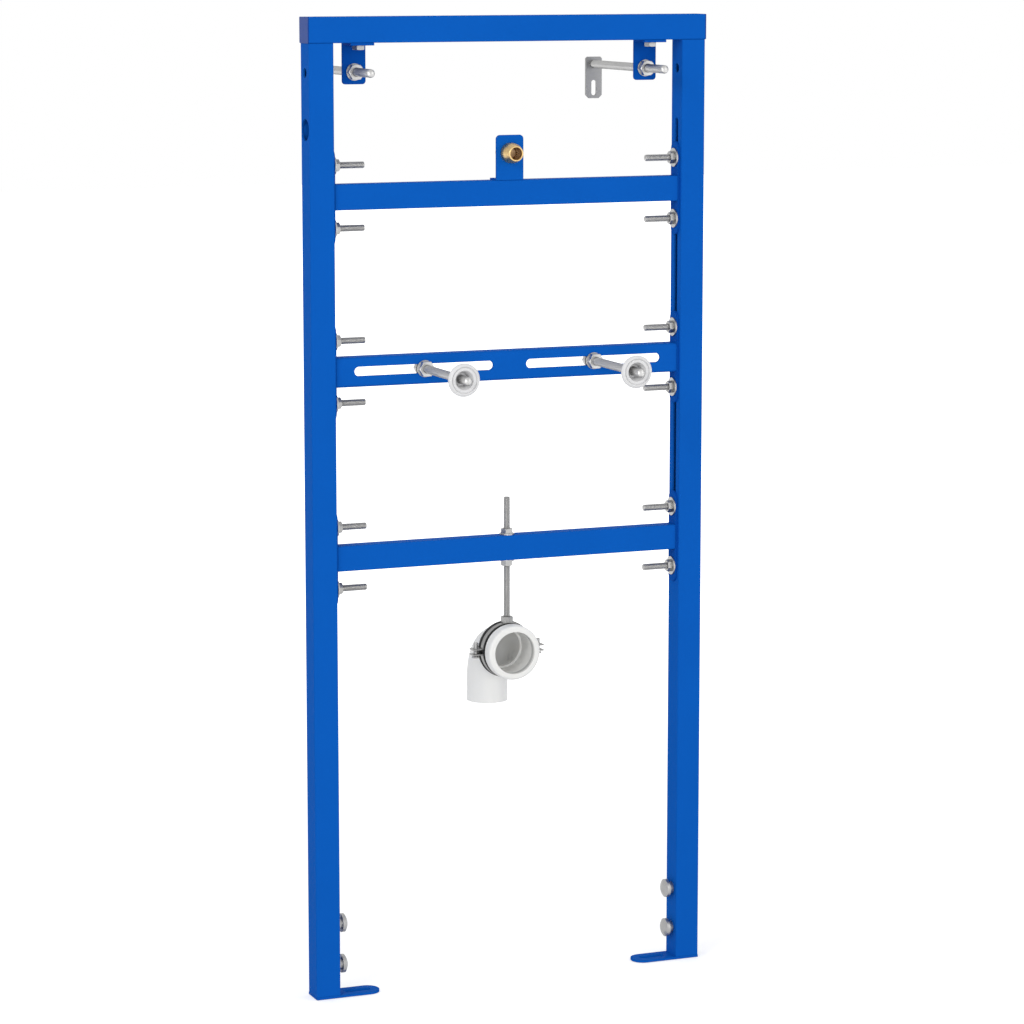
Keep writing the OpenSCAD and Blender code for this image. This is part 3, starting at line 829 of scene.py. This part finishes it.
def looseParts(nodeName):
    # The boxes of the separate solids in one CAD node
    form = weldedForm(nodeName)
    seen = set()
    boxes = []
    for first in form.verts:
        if first in seen:
            continue
        seen.add(first)
        part = [first]
        for vert in part:               # grows while it is read
            for edge in vert.link_edges:
                other = edge.other_vert(vert)
                if other not in seen:
                    seen.add(other)
                    part.append(other)
        low = Vector([min(vert.co[i] for vert in part) for i in range(3)])
        high = Vector([max(vert.co[i] for vert in part) for i in range(3)])
        boxes.append((low, high))
    form.free()
    return boxes


def joined(name, *pieces):
    # One object from several
    form = bmesh.new()
    for piece in pieces:
        form.from_mesh(piece.data)
        mesh = piece.data
        bpy.data.objects.remove(piece)
        bpy.data.meshes.remove(mesh)
    return linked(name, meshFrom(form, name))


sideBolt = {
    "radius": 4 * mm,
    "headLength": 20 * mm,
    "headWidth": 13 * mm,
    "headThickness": 3 * mm,
    "headEdge": 0.5 * mm,
    "shadeFrom": 50,
}


def boltHeads(name, boxes, b):
    # Flat hammer heads that bear on the inside of the leg
    form = bmesh.new()
    size = Matrix.Diagonal((b["headThickness"], b["headWidth"], b["headLength"], 1))
    for low, high in boxes:
        middle = (low + high) / 2
        inward = -1 if middle.x < middleX else 1
        x = (low.x if inward < 0 else high.x) - inward * b["headThickness"] / 2
        place = Matrix.Translation((x, middle.y, middle.z))
        made = bmesh.ops.create_cube(form, size=1)
        bmesh.ops.transform(form, matrix=place @ size, verts=made["verts"])
    piece = linked(name, meshFrom(form, name))
    addBevel(piece, b["headEdge"])
    return settled(piece)


def makeSideBolts(b):
    boxes = looseParts("side_bolts")
    heads = boltHeads("sideBoltHeads", boxes, b)
    starts = []
    for low, high in boxes:
        middle = (low + high) / 2
        onLeft = middle.x < middleX
        start = low.x + b["headThickness"] if onLeft else high.x - b["headThickness"]
        starts.append(Vector((start, middle.y, middle.z)))
    low, high = boxes[0]                # the bolts are alike
    length = high.x - low.x - b["headThickness"]
    rods = threadedRods("sideBoltThreads", starts, lambda p: (1, 0, 0) if p.x < middleX else (-1, 0, 0),
                        b["radius"], pitches["M8"], length, finishes["zinc"])
    piece = joined("sideBolts", heads, rods)
    piece.data.set_sharp_from_angle(angle=math.radians(b["shadeFrom"]))
    return finished(piece, finishes["zinc"], "side_bolts")


makeSideBolts(sideBolt)
print("side bolts made")


clampScrew = {
    "radius": 3 * mm,
    "headTop": 0.3985,          # underside of the lower ear, where the head bears
    "shadeFrom": 35,
}


def makeClampScrews(c):
    # The heads are cut off the CAD screws, and threaded shanks stand on them
    boxes = looseParts("clamp_screws")
    form = weldedForm("clamp_screws")
    bmesh.ops.bisect_plane(form, geom=form.verts[:] + form.edges[:] + form.faces[:],
                           plane_co=(0, 0, c["headTop"]), plane_no=(0, 0, 1), clear_outer=True)
    bmesh.ops.holes_fill(form, edges=[edge for edge in form.edges if edge.is_boundary])
    heads = linked("clampScrewHeads", meshFrom(form, "clampScrewHeads"))
    starts = []
    for low, high in boxes:
        middle = (low + high) / 2
        starts.append(Vector((middle.x, middle.y, c["headTop"])))
    low, high = boxes[0]                # the screws are alike
    rods = threadedRods("clampScrewThreads", starts, (0, 0, 1), c["radius"], pitches["M6"],
                        high.z - c["headTop"], finishes["nut"])
    piece = joined("clampScrews", heads, rods)
    shaded(piece.data, c["shadeFrom"])
    return finished(piece, finishes["nut"], "clamp_screws")


makeClampScrews(clampScrew)
print("clamp screws made")


# Floor, light and background

studio = {
    "floorHalf": 14.0,
    "floorDrop": 0.0005,        # below the feet, so that nothing touches it
    "floorGrey": 0.8,
    "whiteFrom": 0.5,           # distance from the frame where the floor starts to go white
    "whiteTo": 2.6,
    "nearGlow": 0.45,           # how much of its white the floor has beside the feet
    "worldLight": 0.66,
    "lampAim": (middleX, 0, 0.6),
    "lamps": {                  # place, diameter and watts
        "key": ((-3.9, -3.0, 3.2), 2.2, 70),
        "front": ((-1.2, -4.6, 1.0), 1.6, 42),
        "fill": ((3.2, -3.0, 1.6), 2.5, 26),
    },
}
pureWhite = (1, 1, 1, 1)


def cameraSees(g):
    # 1 for what the camera sees, also in a mirror or through glass
    rays = [g.add("ShaderNodeLightPath", {}, {}, name) for name in (
        "Is Camera Ray", "Is Glossy Ray", "Is Transmission Ray")]
    return (rays[0] + rays[1] + rays[2]).least(1)


def floorFinish(s):
    f = Finish("paleFloor")
    away = f.distance((middleX, 0, 0))
    glow = away.span(s["whiteFrom"], s["whiteTo"]).within(s["nearGlow"], 1)
    grey = s["floorGrey"]
    plain = f.add("ShaderNodeBsdfDiffuse", {}, {"Color": (grey, grey, grey, 1)})
    white = f.add("ShaderNodeEmission", {}, {"Color": pureWhite, "Strength": cameraSees(f) * glow})
    both = f.add("ShaderNodeAddShader", {}, {0: plain, 1: white})
    f.add("ShaderNodeOutputMaterial", {}, {"Surface": both})
    return f.material


def stagePlane(name, half, height, material):
    corners = [(x * half, y * half, height) for x, y in ((-1, -1), (1, -1), (1, 1), (-1, 1))]
    mesh = bpy.data.meshes.new(name)
    mesh.from_pydata(corners, [], [(0, 1, 2, 3)])
    mesh.materials.append(material)
    linked(name, mesh)


def makeWorld(strength):
    world = bpy.data.worlds.new("studioWorld")
    world.use_nodes = True
    g = Graph(world.node_tree)
    dim = g.add("ShaderNodeBackground", {}, {"Color": pureWhite, "Strength": strength})
    white = g.add("ShaderNodeBackground", {}, {"Color": pureWhite, "Strength": 1.0})
    both = g.add("ShaderNodeMixShader", {}, {0: cameraSees(g), 1: dim, 2: white})
    g.add("ShaderNodeOutputWorld", {}, {"Surface": both})
    scene.world = world


def makeLamp(name, place, size, power, aim):
    data = bpy.data.lights.new(name, "AREA")
    data.shape = "DISK"
    data.size = size
    data.energy = power
    lamp = bpy.data.objects.new(name, data)
    lamp.location = place
    lamp.rotation_euler = (Vector(aim) - Vector(place)).to_track_quat("-Z", "Y").to_euler()
    scene.collection.objects.link(lamp)


stagePlane("floor", studio["floorHalf"], -studio["floorDrop"], floorFinish(studio))
makeWorld(studio["worldLight"])
for lampName, (place, size, power) in studio["lamps"].items():
    makeLamp(lampName, place, size, power, studio["lampAim"])
scene.view_settings.view_transform = "Standard"
print("floor, world and lamps placed")
